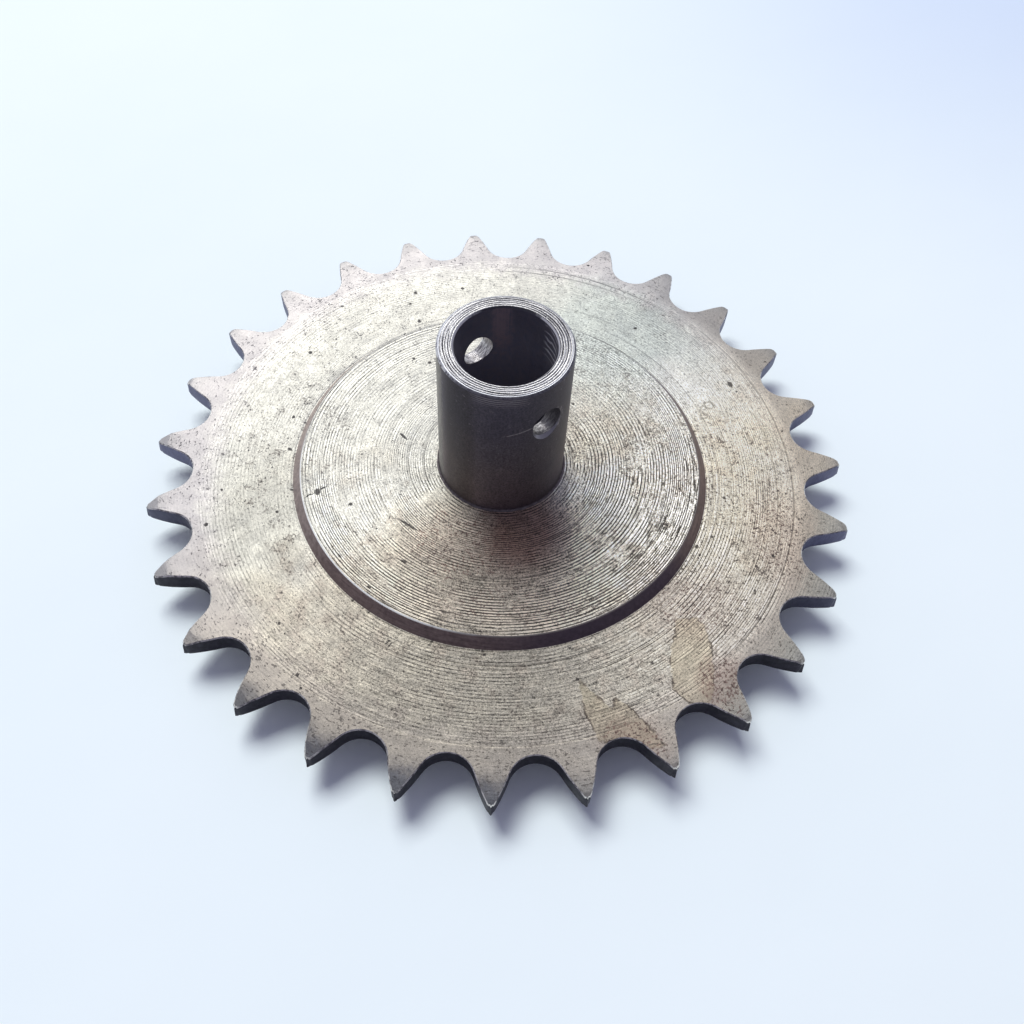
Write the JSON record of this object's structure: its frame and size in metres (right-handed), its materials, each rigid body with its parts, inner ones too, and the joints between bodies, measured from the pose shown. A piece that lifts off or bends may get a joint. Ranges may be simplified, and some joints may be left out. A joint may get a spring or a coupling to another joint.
{
  "type": "roller chain sprocket with tube hub",
  "caption": "Flat steel sprocket for roller chain with a raised turned centre face, welded on a plain tube hub drilled across for a pin.",
  "frame": {"origin": "centre of the shaft bore at the short, rear end of the tube, which is also the lowest point", "axes": "+Z along the bore towards the long end of the tube; +X along the cross hole"},
  "size_m": [0.1446, 0.1445, 0.0453],
  "materials": {
    "turned_steel": "lathe-turned steel with concentric tool marks, dull and lightly stained",
    "tube_steel": "dark mill-finish tube with a bright turned end face",
    "seam_steel": "turned-down seam at the tube's foot",
    "weld_steel": "rippled arc-weld bead, dull"
  },
  "bodies": {
    "root": {"toothed_plate": "turned_steel", "hub_tube": "tube_steel", "front_weld": "seam_steel", "rear_weld": "weld_steel"}
  },
  "joints": []
}
